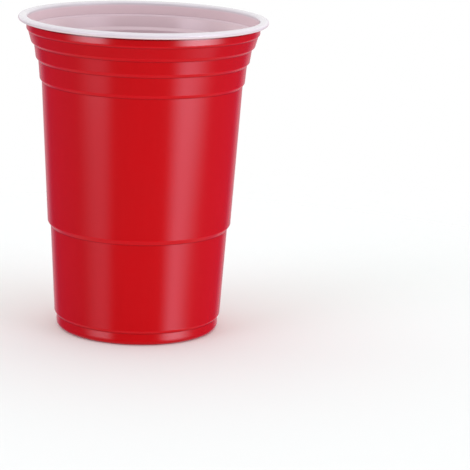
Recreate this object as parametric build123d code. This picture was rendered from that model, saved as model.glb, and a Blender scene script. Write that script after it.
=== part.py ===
from build123d import *
from math import asin, cos, degrees, radians, sin, tan
import os

# A tapered party cup formed from one thin sheet, red outside and white inside.
# Millimetres, +Z up, with the origin on the axis at the height of the table.
# Radii, heights and steps are those of the red outer face. A draft is the lean
# of a wall from upright, in degrees, and opens the cup upwards when positive.

# The sheet
wall = 0.35
bend = 0.3                  # inside radius of its small bends

# Floor and standing ring
foot_radius = 31.5          # where the foot's wall would meet the table
foot_round = 1.6            # inside radius of the bend at the table
ring_width = 4.2            # from the foot's wall to the recess, along the table
recess_height = 3.0         # from the table to the floor's underside
recess_draft = 14.0
panel_radius = 18.0         # raised panel in the middle of the floor
panel_rise = 0.7
panel_slope = 45.0

# Foot, set back under the body so that a cup in a stack can be pulled free
foot_height = 4.7
foot_draft = -2.0
foot_step_out = 0.9
foot_step_up = 1.1

# Lower body
lower_height = 33.95
lower_draft = 3.2
waist_step_out = 1.2
waist_step_up = 1.75

# Upper body
upper_height = 54.2
upper_draft = 3.15

# Three bands under the lip, each stepped out over the one below
low_band_step_out = 0.8
low_band_step_up = 1.2
low_band_height = 6.8
low_band_draft = 4.9
mid_band_step_out = 1.0
mid_band_step_up = 1.2
mid_band_height = 4.9
mid_band_draft = 8.1
high_band_step_out = 1.15
high_band_step_up = 1.1
high_band_height = 4.15
high_band_draft = 15.8

# Lip
lip_step_out = 0.63
lip_step_up = 0.7
lip_height = 4.15
lip_draft = 0.5

# Rolled rim, an oval of four arcs seen from outside
bead_width = 3.45
bead_height = 2.3
crown_turn = 60.0           # angle of its top arc, and of its bottom one when whole
tuck_gap = 0.3              # from the lip to the sheet's cut edge under the rim

# Steps and walls above the foot, as step out, step up, height and draft
TIERS = [
    (foot_step_out, foot_step_up, lower_height, lower_draft),
    (waist_step_out, waist_step_up, upper_height, upper_draft),
    (low_band_step_out, low_band_step_up, low_band_height, low_band_draft),
    (mid_band_step_out, mid_band_step_up, mid_band_height, mid_band_draft),
    (high_band_step_out, high_band_step_up, high_band_height, high_band_draft),
    (lip_step_out, lip_step_up, lip_height, lip_draft),
]


def leaning(height, draft):
    """How far a wall of this height and draft moves outwards."""
    return height * tan(radians(draft))


def floor_corners():
    """Corners of the outer face under the cup, from the axis out to the table."""
    ring_inner = foot_radius - ring_width
    panel_top = recess_height + panel_rise
    panel_edge = panel_radius - panel_rise / tan(radians(panel_slope))
    return [
        Vector(0, panel_top),
        Vector(panel_edge, panel_top),
        Vector(panel_radius, recess_height),
        Vector(ring_inner - leaning(recess_height, recess_draft), recess_height),
        Vector(ring_inner, 0),
    ]


def wall_corners():
    """Corners of the outer face from the table up to where the rim's curl starts."""
    corner = Vector(foot_radius, 0)
    corners = [corner]
    corner += Vector(leaning(foot_height, foot_draft), foot_height)
    corners.append(corner)
    for step_out, step_up, height, draft in TIERS:
        corner += Vector(step_out, step_up)
        corners.append(corner)
        corner += Vector(leaning(height, draft), height)
        corners.append(corner)
    return corners


def rim_arcs():
    """Arcs of the rim's visible face, each as a radius and the angle that it turns."""
    lean = radians(lip_draft)
    half_crown = radians(crown_turn / 2)
    spread = (bead_width - bead_height) / 2 / (sin(half_crown) + cos(half_crown) - 1)
    nose = bead_height / 2 - spread * (1 - cos(half_crown))
    crown = nose + spread
    tucked = bead_width / 2 - nose * (1 - cos(lean)) - wall * cos(lean) - tuck_gap
    return [
        (nose, 90 - lip_draft - crown_turn / 2),
        (crown, crown_turn),
        (nose, 180 - crown_turn),
        (crown, crown_turn / 2 + degrees(asin(tucked / crown))),
    ]


def sheet_face(depth):
    """One face of the sheet as a line, from the axis to the cut edge in the rim.

    The depth is 0 for the red outer face and the wall's thickness for the white one.
    """
    under = floor_corners()
    corners = under + wall_corners()
    bends = [bend] * (len(corners) - 2)
    bends[len(under) - 1] = foot_round
    runs = [(end - start).normalized() for start, end in zip(corners, corners[1:])]
    sides = [Vector(-run.Y, run.X) for run in runs]
    points = [corners[0] + sides[0] * depth]
    radii = []
    for corner, inside, side, next_side in zip(corners[1:-1], bends, sides, sides[1:]):
        points.append(corner + (side + next_side) * (depth / (1 + side.dot(next_side))))
        turns_inwards = side.cross(next_side).Z > 0
        radii.append(inside + wall - depth if turns_inwards else inside + depth)
    points.append(corners[-1] + sides[-1] * depth)
    line = FilletPolyline(*points, radius=radii)
    for radius, turn in rim_arcs():
        line += JernArc(line @ 1, line % 1, radius - wall + depth, -turn)
    return line


def cup():
    """The whole cup: the sheet's section, turned about the axis."""
    outer = sheet_face(0)
    inner = sheet_face(wall)
    on_axis = Line(outer @ 0, inner @ 0)
    cut_edge = Line(outer @ 1, inner @ 1)
    section = make_face(outer.edges() + cut_edge.edges() + inner.edges() + on_axis.edges())
    return revolve(Plane.XZ * section, Axis.Z)


os.makedirs("parts", exist_ok=True)
export_step(cup(), "parts/cup.step")
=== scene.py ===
"""Looks of a plastic party cup: one thin sheet, red outside, white inside and over its rolled rim.

The cup's section is drawn with the sizes of its solid and turned about the axis by Geometry Nodes.
"""

import logging
from dataclasses import dataclass, field, replace
from enum import Enum
from math import asin, ceil, copysign, cos, degrees, pi, radians, sin, tan
from typing import Any

import bmesh
import bpy
from mathutils import Matrix, Vector


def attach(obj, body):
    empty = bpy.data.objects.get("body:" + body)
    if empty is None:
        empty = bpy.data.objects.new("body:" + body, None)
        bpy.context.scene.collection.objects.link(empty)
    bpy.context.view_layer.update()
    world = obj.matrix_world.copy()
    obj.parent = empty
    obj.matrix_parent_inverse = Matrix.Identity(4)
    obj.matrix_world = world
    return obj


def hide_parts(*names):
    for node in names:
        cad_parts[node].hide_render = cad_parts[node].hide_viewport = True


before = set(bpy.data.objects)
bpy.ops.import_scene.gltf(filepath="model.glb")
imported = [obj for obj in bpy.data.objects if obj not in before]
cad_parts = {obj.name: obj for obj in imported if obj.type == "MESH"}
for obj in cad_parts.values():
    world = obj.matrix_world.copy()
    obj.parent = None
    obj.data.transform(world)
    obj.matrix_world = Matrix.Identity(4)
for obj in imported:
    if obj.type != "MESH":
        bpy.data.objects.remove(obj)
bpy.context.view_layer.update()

LOG = logging.getLogger("party_cup")
MM = 0.001
NOISE_MEAN = 0.5
Colour = tuple[float, float, float]
WHITE: Colour = (1.0, 1.0, 1.0)


class Face(Enum):
    """The two faces of the cup's sheet, by the value that a point on it carries."""

    RED = 0.0
    WHITE = 1.0


class Value:
    """A number that varies over a surface, on which Python's operators add Math nodes."""

    def __init__(self, graph: "Graph", socket: bpy.types.NodeSocket) -> None:
        """Wraps an output socket of a node in the graph."""
        self.graph = graph
        self.socket = socket

    def math(self, operation: str, *operands: "Value | float") -> "Value":
        """Adds a Math node of this operation, with the operands in their order, for its result."""
        inputs = dict(enumerate(operands))
        return self.graph.value("ShaderNodeMath", {"operation": operation}, inputs)

    def __add__(self, other: "Value | float") -> "Value":
        """The sum of both."""
        return self.math("ADD", self, other)

    def __radd__(self, other: float) -> "Value":
        """The sum of both."""
        return self.math("ADD", other, self)

    def __sub__(self, other: "Value | float") -> "Value":
        """This value less the other."""
        return self.math("SUBTRACT", self, other)

    def __rsub__(self, other: float) -> "Value":
        """The other value less this one."""
        return self.math("SUBTRACT", other, self)

    def __mul__(self, other: "Value | float") -> "Value":
        """The product of both."""
        return self.math("MULTIPLY", self, other)

    def __rmul__(self, other: float) -> "Value":
        """The product of both."""
        return self.math("MULTIPLY", other, self)

    def __truediv__(self, other: "Value | float") -> "Value":
        """This value divided by the other."""
        return self.math("DIVIDE", self, other)

    def __mod__(self, other: "Value | float") -> "Value":
        """What is left when this value is divided by the other."""
        return self.math("MODULO", self, other)

    def __neg__(self) -> "Value":
        """This value with its sign changed."""
        return self.math("MULTIPLY", self, -1.0)

    def __abs__(self) -> "Value":
        """This value without its sign."""
        return self.math("ABSOLUTE", self)

    def floor(self) -> "Value":
        """The whole number at or below this value."""
        return self.math("FLOOR", self)

    def rise(self, start: float, end: float) -> "Value":
        """A smooth step over this value.

        Args:
            start: Where the step leaves 0.
            end: Where it reaches 1.

        Returns:
            The step's height.
        """
        settings = {"interpolation_type": "SMOOTHSTEP"}
        inputs = {"Value": self, "From Min": start, "From Max": end}
        return self.graph.value("ShaderNodeMapRange", settings, inputs)

    def past(self, edge: float, blur: float) -> "Value":
        """A smooth step over this value, centred on the edge and reaching the blur to each side."""
        return self.rise(edge - blur, edge + blur)


class Graph:
    """A node tree while it is being wired, of a material, the world or Geometry Nodes.

    The Mix node's colour sockets share their names with its others, so they go by their numbers.
    """

    MIX_COLOURS = (6, 7)
    MIX_RESULT = 2

    def __init__(self, tree: bpy.types.NodeTree) -> None:
        """Empties the tree and starts on it."""
        self.tree = tree
        tree.nodes.clear()

    def node(
        self,
        kind: str,
        settings: dict[str, Any] | None = None,
        inputs: dict[str | int, Any] | None = None,
    ) -> bpy.types.Node:
        """Adds one node.

        Args:
            kind: The node's type.
            settings: Its own properties, which are set first.
            inputs: Values or links of its sockets, by their names or numbers.

        Returns:
            The node.
        """
        node = self.tree.nodes.new(kind)
        for name, setting in (settings or {}).items():
            setattr(node, name, setting)
        for key, given in (inputs or {}).items():
            socket = node.inputs[key]
            if isinstance(given, Value):
                self.tree.links.new(given.socket, socket)
            elif isinstance(given, bpy.types.NodeSocket):
                self.tree.links.new(given, socket)
            elif isinstance(given, tuple) and len(given) < len(socket.default_value):
                socket.default_value = (*given, 1.0)
            else:
                socket.default_value = given
        return node

    def value(
        self,
        kind: str,
        settings: dict[str, Any] | None = None,
        inputs: dict[str | int, Any] | None = None,
        output: str | int = 0,
    ) -> Value:
        """Adds one node in the same way, and takes the number at one of its outputs."""
        return Value(self, self.node(kind, settings, inputs).outputs[output])

    def mix(self, share: Value | float, first: Any, second: Any) -> bpy.types.NodeSocket:
        """Mixes two colours or sockets of one, with this share of the second."""
        inputs = {0: share, self.MIX_COLOURS[0]: first, self.MIX_COLOURS[1]: second}
        return self.node("ShaderNodeMix", {"data_type": "RGBA"}, inputs).outputs[self.MIX_RESULT]

    def noise(
        self,
        place: bpy.types.NodeSocket,
        grain: tuple[float, float, float],
        detail: float = 2.0,
    ) -> Value:
        """Adds a noise pattern over the object's own coordinates.

        Args:
            place: The socket of the coordinates.
            grain: Size of its blotches along each axis, in millimetres.
            detail: How many finer layers it has.

        Returns:
            The pattern, mostly between 0.3 and 0.7.
        """
        scale = tuple(1.0 / (size * MM) for size in grain)
        stretched = self.node("ShaderNodeMapping", None, {"Vector": place, "Scale": scale})
        inputs = {"Vector": stretched.outputs[0], "Scale": 1.0, "Detail": detail}
        return self.value("ShaderNodeTexNoise", None, inputs)


@dataclass(frozen=True)
class SatinPlastic:
    """Satin polystyrene, formed from a sheet: faint upright draw streaks, soft mottling, fine peel."""

    name: str
    tone: Colour
    streak_tone: Colour
    ior: float = 1.59
    roughness: float = 0.18
    roughness_spread: float = 0.03
    streak_grain: tuple[float, float, float] = (2.2, 2.2, 60.0)
    streak_span: tuple[float, float] = (0.35, 0.75)
    streak_share: float = 0.5
    mottle_grain: tuple[float, float, float] = (14.0, 14.0, 14.0)
    mottle_span: tuple[float, float] = (0.3, 0.7)
    mottle_detail: float = 4.0
    peel_grain: tuple[float, float, float] = (0.7, 0.7, 0.7)
    peel_height: float = 0.0015
    ripple_grain: tuple[float, float, float] = (7.0, 7.0, 16.0)
    ripple_height: float = 0.004

    def colour(self, graph: Graph, place: bpy.types.NodeSocket) -> bpy.types.NodeSocket:
        """Wires the colour.

        Args:
            graph: The material's nodes.
            place: The socket of the object's coordinates.

        Returns:
            The socket of the colour.
        """
        streaks = graph.noise(place, self.streak_grain).rise(*self.streak_span)
        mottling = graph.noise(place, self.mottle_grain).rise(*self.mottle_span)
        share = streaks * self.streak_share + mottling * (1 - self.streak_share)
        return graph.mix(share, self.tone, self.streak_tone)

    def material(self) -> bpy.types.Material:
        """Makes the material.

        Returns:
            The finished material.
        """
        material = bpy.data.materials.new(self.name)
        material.use_nodes = True
        graph = Graph(material.node_tree)
        place = graph.node("ShaderNodeTexCoord").outputs["Object"]
        mottling = graph.noise(place, self.mottle_grain, self.mottle_detail)
        roughness = self.roughness + (mottling - NOISE_MEAN) * self.roughness_spread
        peel = graph.noise(place, self.peel_grain) * (self.peel_height * MM)
        ripple = graph.noise(place, self.ripple_grain) * (self.ripple_height * MM)
        bump_inputs = {"Height": peel + ripple, "Distance": 1.0, "Strength": 1.0}
        bump = graph.node("ShaderNodeBump", None, bump_inputs)
        shader_inputs = {
            "Base Color": self.colour(graph, place),
            "Roughness": roughness,
            "IOR": self.ior,
            "Normal": bump.outputs[0],
        }
        shader = graph.node("ShaderNodeBsdfPrincipled", None, shader_inputs)
        graph.node("ShaderNodeOutputMaterial", None, {"Surface": shader.outputs[0]})
        return material


@dataclass(frozen=True)
class RedOutside(SatinPlastic):
    """The red face, with painted light on its ledges and painted shade in the hollows below them.

    Ledges are given by the heights where they start and end, in millimetres. A painted shadow line
    runs round the lip just under the rolled rim.
    """

    ledges: tuple[tuple[float, float], ...] = ()
    # painted light: each ledge paler, as where light catches it
    ledge_painted_light_tone: Colour = (0.64, 0.0030, 0.0075)
    ledge_rise: float = 0.4
    # painted shade in the hollow at the foot of each ledge
    painted_shade_tone: Colour = (0.16, 0.0020, 0.0060)
    painted_shade_share: float = 0.35
    painted_shade_reach: float = 0.35
    # painted shadow: a dark line round the lip just under the rolled rim
    rim_painted_shadow: float = 118.08
    rim_painted_shadow_blur: float = 0.28

    def colour(self, graph: Graph, place: bpy.types.NodeSocket) -> bpy.types.NodeSocket:
        """Wires the colour.

        Args:
            graph: The material's nodes.
            place: The socket of the object's coordinates.

        Returns:
            The socket of the colour.
        """
        height = graph.value("ShaderNodeSeparateXYZ", None, {0: place}, "Z") / MM
        painted_light: Value | float = 0.0
        # painted shadow line under the rim, then the hollows' painted shade
        painted_shade = height.past(self.rim_painted_shadow, self.rim_painted_shadow_blur)
        for start, end in self.ledges:
            # painted light on each ledge, and painted shade in the hollow at its foot
            above_start = height.rise(start, start + self.ledge_rise)
            below_end = 1 - height.rise(end, end + self.ledge_rise)
            near_start = height.rise(start - self.painted_shade_reach, start)
            painted_light = above_start * below_end + painted_light
            painted_shade = near_start * (1 - above_start) * self.painted_shade_share + painted_shade
        with_painted_light = graph.mix(painted_light, super().colour(graph, place), self.ledge_painted_light_tone)
        return graph.mix(painted_shade, with_painted_light, self.painted_shade_tone)


@dataclass(frozen=True)
class WhiteLining(SatinPlastic):
    """The white face: clean over the rim, with painted red light and painted shade down the inside.

    Heights from the table and radii from the axis are in millimetres. The rim has the finish's own
    tone, and its outside and underside the whiter under tone, which is painted light from below.
    Below it the pinker upper tone, painted red light as if through the wall, fades to the darker
    lower one, painted shade, which the lip's ledge has too, and that fades to the whiter deep tone
    further down.
    """

    # painted red light, as if through the red wall
    upper_red_light_tone: Colour = (0.845, 0.675, 0.69)
    # darker and pinker: painted shade and painted red light
    lower_shade_tone: Colour = (0.68, 0.525, 0.565)
    deep_tone: Colour = (0.81, 0.675, 0.705)
    rim_from: float = 119.0
    rim_to: float = 120.2
    bead_from: float = 45.2
    bead_to: float = 46.0
    # painted light: the rim's outside and underside whiter, as if lit from below
    under_painted_light_tone: Colour = (0.93, 0.94, 0.915)
    under_from: float = 119.1
    under_to: float = 119.8
    fade_from: float = 106.0
    fade_to: float = 118.0
    deep_fade_from: float = 72.0
    deep_fade_to: float = 103.0
    lip_ledge: float = 115.6
    lip_ledge_blur: float = 0.35
    # painted shade: how much of the darker lower tone the lip's inner ledge takes
    lip_ledge_shade_share: float = 0.7

    def colour(self, graph: Graph, place: bpy.types.NodeSocket) -> bpy.types.NodeSocket:
        """Wires the colour.

        Args:
            graph: The material's nodes.
            place: The socket of the object's coordinates.

        Returns:
            The socket of the colour.
        """
        parts = graph.node("ShaderNodeSeparateXYZ", None, {0: place})
        along_x, along_y, height = (Value(graph, output) / MM for output in parts.outputs)
        across = along_x * along_x + along_y * along_y
        radius = across.math("SQRT", across)
        blur = self.lip_ledge_blur
        # painted shade on the lip's inner ledge
        above_ledge = height.rise(self.lip_ledge + blur, self.lip_ledge + 2 * blur)
        from_ledge = height.rise(self.lip_ledge - 2 * blur, self.lip_ledge - blur)
        ledge_shade = from_ledge * (1 - above_ledge) * self.lip_ledge_shade_share
        # painted shade and painted red light down the inside
        above_deep = height.rise(self.deep_fade_from, self.deep_fade_to)
        lower = graph.mix(above_deep, self.deep_tone, self.lower_shade_tone)
        upper_share = height.rise(self.fade_from, self.fade_to) * (1 - ledge_shade)
        inside = graph.mix(upper_share, lower, self.upper_red_light_tone)
        top = super().colour(graph, place)
        # painted light on the rim's outside and underside
        rim = graph.mix(height.rise(self.under_from, self.under_to), self.under_painted_light_tone, top)
        over_rim = height.rise(self.rim_from, self.rim_to)
        over_bead = radius.rise(self.bead_from, self.bead_to)
        return graph.mix(over_rim.math("MAXIMUM", over_rim, over_bead), inside, rim)


@dataclass(frozen=True)
class Tier:
    """A step outwards and the straight wall above it, on the red face."""

    step_out: float
    step_up: float
    height: float
    draft: float


class SheetPen:
    """Draws the red face as straight runs and bends, in millimetres from the axis and the table.

    It notes the points that the mesh needs, each with the way that the pen heads there.
    """

    BEND_STEP = 8.0
    END_MARGIN = 0.25

    def __init__(self, start: Vector) -> None:
        """Puts the pen down, heading away from the axis.

        Args:
            start: Where it is put down.
        """
        self.place = start
        self.heading = 0.0
        self.notes: list[tuple[Vector, float]] = [(start, 0.0)]

    def forward(self, length: float) -> None:
        """Draws a straight run.

        Args:
            length: How long it is.
        """
        start = self.place
        way = Vector((cos(self.heading), sin(self.heading)))
        margin = min(self.END_MARGIN, length / 3)
        for travelled in (margin, length - margin, length):
            self.place = start + way * travelled
            self.notes.append((self.place, self.heading))

    def bend(self, radius: float, turn: float) -> None:
        """Draws an arc that carries on from where the pen heads.

        Args:
            radius: Its radius on the red face.
            turn: The angle that it turns, in degrees, positive to the white side.
        """
        side = copysign(1.0, turn)
        across = Vector((-sin(self.heading), cos(self.heading))) * side
        centre = self.place + across * radius
        first = self.heading
        steps = ceil(abs(turn) / self.BEND_STEP)
        for step in range(1, steps + 1):
            self.heading = first + radians(turn) * step / steps
            outwards = Vector((sin(self.heading), -cos(self.heading))) * side
            self.place = centre + outwards * radius
            self.notes.append((self.place, self.heading))

    def through(self, corners: list[Vector], radii: list[tuple[float, float]]) -> None:
        """Draws straight runs from the pen to each corner in turn, with a bend at each but the last.

        Args:
            corners: The corners, after the pen's own place.
            radii: Radius of each bend where it turns to the white side, and where to the red.
        """
        runs = [end - start for start, end in zip([self.place, *corners], corners)]
        cut = 0.0
        for run, next_run, (to_white, to_red) in zip(runs, runs[1:], radii):
            turn = -run.angle_signed(next_run)
            radius = to_white if turn > 0 else to_red
            next_cut = radius * tan(abs(turn) / 2)
            self.forward(run.length - cut - next_cut)
            self.bend(radius, degrees(turn))
            cut = next_cut
        self.forward(runs[-1].length - cut)


@dataclass
class CupSection:
    """Half of the cup's section. Radii, heights and steps are those of the red face.

    Lengths are in millimetres. A draft is the lean of a wall from upright, in degrees. The rim's
    width and height are 0.02 mm under the solid's, which keeps the piece inside the solid's box.
    """

    wall: float = 0.35
    small_bend: float = 0.3
    foot_radius: float = 31.5
    foot_round: float = 1.6
    foot_height: float = 4.7
    foot_draft: float = -2.0
    ring_width: float = 4.2
    recess_height: float = 3.0
    recess_draft: float = 14.0
    panel_radius: float = 18.0
    panel_rise: float = 0.7
    panel_slope: float = 45.0
    tiers: tuple[Tier, ...] = (
        Tier(step_out=0.9, step_up=1.1, height=33.95, draft=3.2),
        Tier(step_out=1.2, step_up=1.75, height=54.2, draft=3.15),
        Tier(step_out=0.8, step_up=1.2, height=6.8, draft=4.9),
        Tier(step_out=1.0, step_up=1.2, height=4.9, draft=8.1),
        Tier(step_out=1.15, step_up=1.1, height=4.15, draft=15.8),
        Tier(step_out=0.63, step_up=0.7, height=4.15, draft=0.5),
    )
    bead_width: float = 3.43
    bead_height: float = 2.28
    crown_turn: float = 60.0
    tuck_gap: float = 0.3

    def floor_corners(self) -> list[Vector]:
        """Finds the corners of the red face under the cup, from the axis out to the table.

        Returns:
            The corners, each as a radius and a height.
        """
        ring_inner = self.foot_radius - self.ring_width
        recess_inner = ring_inner - self.recess_height * tan(radians(self.recess_draft))
        panel_top = self.recess_height + self.panel_rise
        panel_edge = self.panel_radius - self.panel_rise / tan(radians(self.panel_slope))
        return [
            Vector((0.0, panel_top)),
            Vector((panel_edge, panel_top)),
            Vector((self.panel_radius, self.recess_height)),
            Vector((recess_inner, self.recess_height)),
            Vector((ring_inner, 0.0)),
        ]

    def wall_corners(self) -> list[Vector]:
        """Finds the corners of the red face from the table up to where the rim's curl starts.

        Returns:
            The corners, each as a radius and a height.
        """
        foot_lean = self.foot_height * tan(radians(self.foot_draft))
        corner = Vector((self.foot_radius, 0.0))
        corners = [corner, corner + Vector((foot_lean, self.foot_height))]
        for tier in self.tiers:
            corners.append(corners[-1] + Vector((tier.step_out, tier.step_up)))
            lean = tier.height * tan(radians(tier.draft))
            corners.append(corners[-1] + Vector((lean, tier.height)))
        return corners

    def ledges(self) -> tuple[tuple[float, float], ...]:
        """Finds the lower and the upper height of each step outwards, in millimetres."""
        heights = [corner.y for corner in self.wall_corners()]
        return tuple(zip(heights[1::2], heights[2::2]))

    def rim_arcs(self) -> list[tuple[float, float]]:
        """Works out the rim's oval, from where the lip's white face rolls over.

        Returns:
            Its arcs, each as a radius on the white face and the angle that it turns.
        """
        lip_draft = self.tiers[-1].draft
        lean = radians(lip_draft)
        half_crown = radians(self.crown_turn / 2)
        spread = (self.bead_width - self.bead_height) / 2 / (sin(half_crown) + cos(half_crown) - 1)
        nose = self.bead_height / 2 - spread * (1 - cos(half_crown))
        crown = nose + spread
        leaned = nose * (1 - cos(lean)) + self.wall * cos(lean)
        tucked = self.bead_width / 2 - leaned - self.tuck_gap
        return [
            (nose, 90 - lip_draft - self.crown_turn / 2),
            (crown, self.crown_turn),
            (nose, 180 - self.crown_turn),
            (crown, self.crown_turn / 2 + degrees(asin(tucked / crown))),
        ]

    def outline(self) -> list[tuple[Vector, Face]]:
        """Draws the whole section, along the red face and back along the white one.

        Returns:
            Its points, each as a radius and a height, with the face that it lies on.
        """
        under = self.floor_corners()
        corners = under + self.wall_corners()
        radii = [(self.small_bend + self.wall, self.small_bend)] * (len(corners) - 2)
        radii[len(under) - 1] = (self.foot_round + self.wall, self.foot_round)
        pen = SheetPen(corners[0])
        pen.through(corners[1:], radii)
        for radius, turn in self.rim_arcs():
            pen.bend(radius - self.wall, -turn)
        red = [place for place, _ in pen.notes]
        white = [
            place + Vector((-sin(heading), cos(heading))) * self.wall
            for place, heading in pen.notes
        ]
        there = [(point, Face.RED) for point in red]
        back = [(point, Face.WHITE) for point in reversed(white)]
        return there + back


@dataclass
class PartyCup:
    """The cup: its section turned about the axis, with a finish on each face."""

    name: str = "party_cup"
    section: CupSection = field(default_factory=CupSection)
    segments: int = 192
    weld_distance: float = 0.001
    crease_angle: float = 40.0
    red: RedOutside = RedOutside(
        name="red_satin_outside",
        tone=(0.560, 0.0022, 0.0055),
        streak_tone=(0.542, 0.0020, 0.0050),
    )
    white: WhiteLining = WhiteLining(
        name="white_satin_inside",
        tone=(0.735, 0.705, 0.725),
        streak_tone=(0.71, 0.68, 0.70),
    )
    face_mark: str = "sheet_face"
    white_threshold: float = 0.9

    def section_object(self) -> bpy.types.Object:
        """Makes the section's line, standing in the XZ plane.

        Returns:
            An object of edges, whose points carry the face that they lie on.
        """
        points = self.section.outline()
        mesh = bpy.data.meshes.new("cup_section")
        places = [(point.x * MM, 0.0, max(point.y, 0.0) * MM) for point, _ in points]
        edges = [(index, index + 1) for index in range(len(points) - 1)]
        mesh.from_pydata(places, edges, [])
        mark = mesh.attributes.new(self.face_mark, "FLOAT", "POINT")
        mark.data.foreach_set("value", [face.value for _, face in points])
        section = bpy.data.objects.new("cup_section", mesh)
        bpy.context.scene.collection.objects.link(section)
        return section

    def lathe(self) -> bpy.types.NodeTree:
        """Builds the tree that turns a section about the Z axis.

        Returns:
            The tree, with its sizes and finishes as named inputs.
        """
        tree = bpy.data.node_groups.new("cup_lathe", "GeometryNodeTree")
        sockets = {
            "Section": "NodeSocketGeometry",
            "Segments": "NodeSocketInt",
            "Weld distance": "NodeSocketFloat",
            "Crease angle": "NodeSocketFloat",
            "Red face": "NodeSocketMaterial",
            "White face": "NodeSocketMaterial",
        }
        for name, kind in sockets.items():
            tree.interface.new_socket(name, in_out="INPUT", socket_type=kind)
        tree.interface.new_socket("Cup", in_out="OUTPUT", socket_type="NodeSocketGeometry")
        graph = Graph(tree)
        given = graph.node("NodeGroupInput").outputs
        sheet = self.turned_sheet(graph, given)
        smooth = self.smooth_sheet(graph, sheet, given["Crease angle"])
        cup = self.dressed_sheet(graph, smooth, given)
        graph.node("NodeGroupOutput", None, {"Cup": cup})
        return tree

    def turned_sheet(self, graph: Graph, given: bpy.types.NodeOutputs) -> bpy.types.NodeSocket:
        """Wraps a grid round the axis, with the section's points down each of its columns.

        Args:
            graph: The tree's nodes.
            given: The sockets of the tree's inputs.

        Returns:
            The socket of the closed sheet, whose points carry the face that they lie on.
        """
        section = given["Section"]
        segments = Value(graph, given["Segments"])
        size = {"Geometry": section}
        count = graph.value("GeometryNodeAttributeDomainSize", None, size, "Point Count")
        grid_inputs = {"Vertices X": segments + 1, "Vertices Y": count}
        grid = graph.node("GeometryNodeMeshGrid", None, grid_inputs).outputs["Mesh"]
        index = graph.value("GeometryNodeInputIndex")
        row = index % count
        column = (index / count).floor()
        place = graph.node(
            "GeometryNodeSampleIndex",
            {"data_type": "FLOAT_VECTOR"},
            {
                "Geometry": section,
                "Value": graph.node("GeometryNodeInputPosition").outputs[0],
                "Index": row,
            },
        )
        turned = graph.node(
            "ShaderNodeVectorRotate",
            {"rotation_type": "Z_AXIS"},
            {"Vector": place.outputs[0], "Angle": column * (2 * pi) / segments},
        )
        mark = graph.node("GeometryNodeInputNamedAttribute", None, {"Name": self.face_mark})
        face = graph.value(
            "GeometryNodeSampleIndex",
            None,
            {"Geometry": section, "Value": mark.outputs[0], "Index": row},
        )
        marked = graph.node(
            "GeometryNodeStoreNamedAttribute",
            {"domain": "POINT"},
            {"Geometry": grid, "Name": self.face_mark, "Value": face},
        )
        wrapped = graph.node(
            "GeometryNodeSetPosition",
            None,
            {"Geometry": marked.outputs[0], "Position": turned.outputs[0]},
        )
        welded = graph.node(
            "GeometryNodeMergeByDistance",
            None,
            {"Geometry": wrapped.outputs[0], "Distance": given["Weld distance"]},
        )
        return welded.outputs[0]

    def smooth_sheet(
        self,
        graph: Graph,
        sheet: bpy.types.NodeSocket,
        crease_angle: bpy.types.NodeSocket,
    ) -> bpy.types.NodeSocket:
        """Shades the sheet smooth, but for the edges where it turns by more than an angle.

        Args:
            graph: The tree's nodes.
            sheet: The socket of the sheet.
            crease_angle: The socket of the angle.

        Returns:
            The socket of the shaded sheet.
        """
        smooth = graph.node("GeometryNodeSetShadeSmooth", None, {"Geometry": sheet})
        angle = graph.value("GeometryNodeInputMeshEdgeAngle")
        creased = graph.node(
            "GeometryNodeSetShadeSmooth",
            {"domain": "EDGE"},
            {
                "Geometry": smooth.outputs[0],
                "Selection": angle.math("GREATER_THAN", angle, Value(graph, crease_angle)),
                "Shade Smooth": False,
            },
        )
        return creased.outputs[0]

    def dressed_sheet(
        self,
        graph: Graph,
        sheet: bpy.types.NodeSocket,
        given: bpy.types.NodeOutputs,
    ) -> bpy.types.NodeSocket:
        """Gives the sheet the red finish, and then its white face the white one.

        Args:
            graph: The tree's nodes.
            sheet: The socket of the sheet.
            given: The sockets of the tree's inputs.

        Returns:
            The socket of the dressed cup.
        """
        real = graph.node("GeometryNodeRealizeInstances", None, {0: sheet})
        red = graph.node(
            "GeometryNodeSetMaterial",
            None,
            {"Geometry": real.outputs[0], "Material": given["Red face"]},
        )
        stored = graph.value("GeometryNodeInputNamedAttribute", None, {"Name": self.face_mark})
        white = graph.node(
            "GeometryNodeSetMaterial",
            None,
            {
                "Geometry": red.outputs[0],
                "Selection": stored.math("GREATER_THAN", stored, self.white_threshold),
                "Material": given["White face"],
            },
        )
        return white.outputs[0]

    def build(self) -> bpy.types.Object:
        """Makes the cup's piece and ties it to the frame.

        Returns:
            The finished piece.
        """
        section = self.section_object()
        tree = self.lathe()
        modifier = section.modifiers.new("lathe", "NODES")
        modifier.node_group = tree
        inputs = {
            "Segments": self.segments,
            "Weld distance": self.weld_distance * MM,
            "Crease angle": radians(self.crease_angle),
            "Red face": replace(self.red, ledges=self.section.ledges()).material(),
            "White face": self.white.material(),
        }
        for item in tree.interface.items_tree:
            if item.name in inputs:
                modifier[item.identifier] = inputs[item.name]
        depsgraph = bpy.context.evaluated_depsgraph_get()
        evaluated = section.evaluated_get(depsgraph)
        mesh = bpy.data.meshes.new_from_object(evaluated, depsgraph=depsgraph)
        mesh.name = self.name
        section.modifiers.remove(modifier)
        bpy.data.objects.remove(section)
        piece = bpy.data.objects.new(self.name, mesh)
        bpy.context.scene.collection.objects.link(piece)
        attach(piece, "root")
        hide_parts("cup")
        return piece


@dataclass(frozen=True)
class Softbox:
    """A tall soft light, by where it is seen from the cup.

    Azimuths are in degrees to the right of the camera's side. It is brightest just above its sill,
    dimmer higher up, and below the sill only its glow is left. The lean moves its right edge
    leftwards, in degrees for each degree down from where the lean starts to where it ends. Below
    that end it stands further right by its shift, and its glow is multiplied by its gain.
    """

    left_edge: float
    left_blur: float
    right_edge: float
    right_blur: float
    sill: float
    level: float
    upper: float
    glow: float
    lean: float = 0.0
    shift: float = 0.0
    gain: float = 1.0


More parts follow.
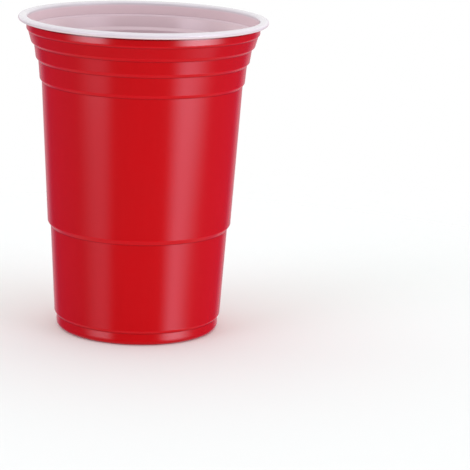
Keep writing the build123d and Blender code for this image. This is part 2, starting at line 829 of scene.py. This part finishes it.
@dataclass(frozen=True)
class Surroundings:
    """The studio as the cup sees it, while the camera sees plain white behind it."""

    softboxes: tuple[Softbox, ...] = (
        Softbox(
            left_edge=39.0,
            left_blur=11.0,
            right_edge=74.0,
            right_blur=16.0,
            sill=-10.7,
            level=6.6,
            upper=1.5,
            glow=1.35,
            lean=2.9,
            shift=3.0,
            gain=1.3,
        ),
        Softbox(
            left_edge=-68.0,
            left_blur=15.0,
            right_edge=-38.0,
            right_blur=8.0,
            sill=-11.4,
            level=3.9,
            upper=2.0,
            glow=0.40,
        ),
    )
    box_colour: Colour = (1.03, 0.985, 1.13)
    glow_colour: Colour = (1.05, 0.93, 1.22)
    colour_sill: float = -11.2
    lean_from: float = -15.5
    lean_end: float = -22.5
    lean_end_blur: float = 0.8
    sill_blur: float = 1.7
    glow_bottom: float = -32.5
    glow_blur: float = 7.0
    band_top: float = 9.0
    band_blur: float = 5.0
    box_top: float = 42.0
    box_top_blur: float = 10.0
    back_from: float = 136.0
    back_to: float = 158.0
    back_level: float = 0.45
    back_bottom: float = -75.0
    low_from: float = -30.0
    low_to: float = -50.0
    low_level: float = 0.14
    shade_from: float = 62.0
    shade_to: float = 92.0
    shade_level: float = 0.11
    warm_colour: Colour = (1.15, 0.78, 0.90)
    cool_colour: Colour = (0.60, 0.50, 1.15)
    wall_from: float = -4.0
    wall_to: float = 5.0
    front_level: float = 0.12
    side_level: float = 1.0
    side_from: float = 50.0
    side_to: float = 110.0
    ceiling_from: float = 28.0
    ceiling_to: float = 56.0
    ceiling_level: float = 1.15

    def room_level(self, azimuth: Value, elevation: Value) -> Value:
        """Works out how bright the walls and the ceiling are.

        Args:
            azimuth: Degrees to the right of the camera's side.
            elevation: Degrees up from level.

        Returns:
            The strength of their light.
        """
        walls = elevation.rise(self.wall_from, self.wall_to)
        ceiling = elevation.rise(self.ceiling_from, self.ceiling_to)
        sides = abs(azimuth).rise(self.side_from, self.side_to)
        wall_level = sides * (self.side_level - self.front_level) + self.front_level
        return walls * (wall_level * (1 - ceiling) + ceiling * self.ceiling_level)

    def dim_light(self, graph: Graph, azimuth: Value, elevation: Value) -> bpy.types.Node:
        """Wires the dim coloured light from behind the cup, from its sides and from below.

        Args:
            graph: The world's nodes.
            azimuth: Degrees to the right of the camera's side.
            elevation: Degrees up from level.

        Returns:
            The node of the light.
        """
        under_walls = 1 - elevation.rise(self.wall_from, self.wall_to)
        back = abs(azimuth).rise(self.back_from, self.back_to) * under_walls
        low = 1 - elevation.rise(self.low_to, self.low_from)
        side = abs(azimuth).rise(self.shade_from, self.shade_to) * under_walls
        back_strength = back * elevation.rise(self.back_bottom, 0.0) * self.back_level
        strength = back_strength + low * self.low_level + side * self.shade_level
        colour = graph.mix(back.math("MAXIMUM", back, low), self.cool_colour, self.warm_colour)
        return graph.node("ShaderNodeBackground", None, {"Color": colour, "Strength": strength})

    def box_light(self, graph: Graph, azimuth: Value, elevation: Value) -> bpy.types.Node:
        """Wires the light of the softboxes.

        Args:
            graph: The world's nodes.
            azimuth: Degrees to the right of the camera's side.
            elevation: Degrees up from level.

        Returns:
            The node of the light.
        """
        below_top = 1 - elevation.past(self.box_top, self.box_top_blur)
        over = elevation.past(self.band_top, self.band_blur)
        lit = elevation.past(self.glow_bottom, self.glow_blur)
        leaning = elevation.past(self.lean_end, self.lean_end_blur)
        down = elevation - self.lean_from
        down = down.math("MINIMUM", down, 0.0) * leaning
        shine: Value | float = 0.0
        for box in self.softboxes:
            shifted = azimuth - (1 - leaning) * box.shift
            leant = shifted - down * box.lean
            left = shifted.past(box.left_edge, box.left_blur)
            right = leant.past(box.right_edge, box.right_blur)
            above = elevation.past(box.sill, self.sill_blur)
            glow = lit * box.glow * ((1 - leaning) * (box.gain - 1) + 1)
            strength = glow + above * (box.level - box.glow) + over * (box.upper - box.level)
            shine = left * (1 - right) * strength * below_top + shine
        bare = elevation.past(self.colour_sill, self.sill_blur)
        colour = graph.mix(bare, self.glow_colour, self.box_colour)
        return graph.node("ShaderNodeBackground", None, {"Color": colour, "Strength": shine})

    def build(self) -> None:
        """Makes the world."""
        world = bpy.data.worlds.new("studio")
        world.use_nodes = True
        bpy.context.scene.world = world
        graph = Graph(world.node_tree)
        direction = graph.node("ShaderNodeTexCoord").outputs["Generated"]
        parts = graph.node("ShaderNodeSeparateXYZ", None, {0: direction})
        along_x, along_y, upwards = (Value(graph, output) for output in parts.outputs)
        azimuth = along_x.math("ARCTAN2", along_x, -along_y) * (180 / pi)
        elevation = upwards.math("ARCSINE", upwards) * (180 / pi)
        level = self.room_level(azimuth, elevation)
        room = graph.node("ShaderNodeBackground", None, {"Color": WHITE, "Strength": level})
        boxes = self.box_light(graph, azimuth, elevation)
        dim = self.dim_light(graph, azimuth, elevation)
        lamps = graph.node("ShaderNodeAddShader", None, {0: boxes.outputs[0], 1: dim.outputs[0]})
        studio = graph.node("ShaderNodeAddShader", None, {0: room.outputs[0], 1: lamps.outputs[0]})
        white = graph.node("ShaderNodeBackground", None, {"Color": WHITE, "Strength": 1.0})
        seen = graph.node("ShaderNodeLightPath").outputs["Is Camera Ray"]
        inputs = {0: seen, 1: studio.outputs[0], 2: white.outputs[0]}
        both = graph.node("ShaderNodeMixShader", None, inputs)
        graph.node("ShaderNodeOutputWorld", None, {"Surface": both.outputs[0]})


@dataclass(frozen=True)
class Floor:
    """A plain pale floor that fades into the white round it, seen from above only.

    Lengths are in metres. The bounce colour is the one that lights the cup from below.
    """

    radius: float = 1.6
    seen_colour: Colour = (0.925, 0.965, 0.945)
    bounce_colour: Colour = (0.76, 0.66, 0.64)
    roughness: float = 0.9
    specular: float = 0.1
    fade_from: float = 0.07
    fade_to: float = 0.32
    segments: int = 96

    def material(self) -> bpy.types.Material:
        """Makes the floor's finish.

        Returns:
            The material.
        """
        material = bpy.data.materials.new("pale_floor")
        material.use_nodes = True
        graph = Graph(material.node_tree)
        place = graph.node("ShaderNodeTexCoord").outputs["Object"]
        distance = graph.value("ShaderNodeVectorMath", {"operation": "LENGTH"}, {0: place}, "Value")
        underside = graph.value("ShaderNodeNewGeometry", None, None, "Backfacing")
        seen = Value(graph, graph.node("ShaderNodeLightPath").outputs["Is Camera Ray"])
        cover = (1 - distance.rise(self.fade_from, self.fade_to) * seen) * (1 - underside)
        paper = graph.node(
            "ShaderNodeBsdfPrincipled",
            None,
            {
                "Base Color": graph.mix(seen, self.bounce_colour, self.seen_colour),
                "Roughness": self.roughness,
                "Specular IOR Level": self.specular,
            },
        )
        clear = graph.node("ShaderNodeBsdfTransparent")
        inputs = {0: cover, 1: clear.outputs[0], 2: paper.outputs[0]}
        both = graph.node("ShaderNodeMixShader", None, inputs)
        graph.node("ShaderNodeOutputMaterial", None, {"Surface": both.outputs[0]})
        return material

    def build(self) -> bpy.types.Object:
        """Makes the floor.

        Returns:
            The floor.
        """
        shape = bmesh.new()
        bmesh.ops.create_circle(shape, cap_ends=True, segments=self.segments, radius=self.radius)
        mesh = bpy.data.meshes.new("floor")
        shape.to_mesh(mesh)
        shape.free()
        mesh.materials.append(self.material())
        floor = bpy.data.objects.new("floor", mesh)
        bpy.context.scene.collection.objects.link(floor)
        floor.visible_glossy = False
        floor.visible_shadow = False
        return floor


@dataclass(frozen=True)
class PhotoCamera:
    """The photograph's point of view. Lengths are in metres and angles in degrees.

    The sensor's width is in millimetres.
    """

    frame_pixels: float = 470.0
    focal_pixels: float = 2138.2
    distance: float = 0.80832
    height: float = 0.22895
    pan: float = 2.647
    tilt: float = -13.373
    roll: float = 1.965
    sensor_width: float = 36.0
    clip_end: float = 9.0

    def build(self) -> bpy.types.Object:
        """Places the camera.

        Returns:
            The scene's camera.
        """
        lens = bpy.data.cameras.new("photo_camera")
        lens.sensor_width = self.sensor_width
        lens.lens = self.sensor_width * self.focal_pixels / self.frame_pixels
        lens.clip_end = self.clip_end
        pan, tilt, roll = (radians(angle) for angle in (self.pan, self.tilt, self.roll))
        forward = Vector((sin(pan) * cos(tilt), cos(pan) * cos(tilt), sin(tilt)))
        level = forward.cross(Vector((0, 0, 1))).normalized()
        upright = level.cross(forward)
        right = level * cos(roll) + upright * sin(roll)
        up = upright * cos(roll) - level * sin(roll)
        camera = bpy.data.objects.new("photo_camera", lens)
        turn = Matrix((right, up, -forward)).transposed().to_4x4()
        camera.matrix_world = Matrix.Translation((0, -self.distance, self.height)) @ turn
        bpy.context.scene.collection.objects.link(camera)
        bpy.context.scene.camera = camera
        return camera


def main() -> None:
    """Builds the cup, the studio and the camera."""
    logging.basicConfig(level=logging.INFO, format="%(name)s: %(message)s")
    bpy.context.scene.view_settings.view_transform = "Standard"
    PhotoCamera().build()
    piece = PartyCup().build()
    piece.data.calc_loop_triangles()
    LOG.info("%s: %d triangles", piece.name, len(piece.data.loop_triangles))
    Floor().build()
    Surroundings().build()


if __name__ == "__main__":
    main()
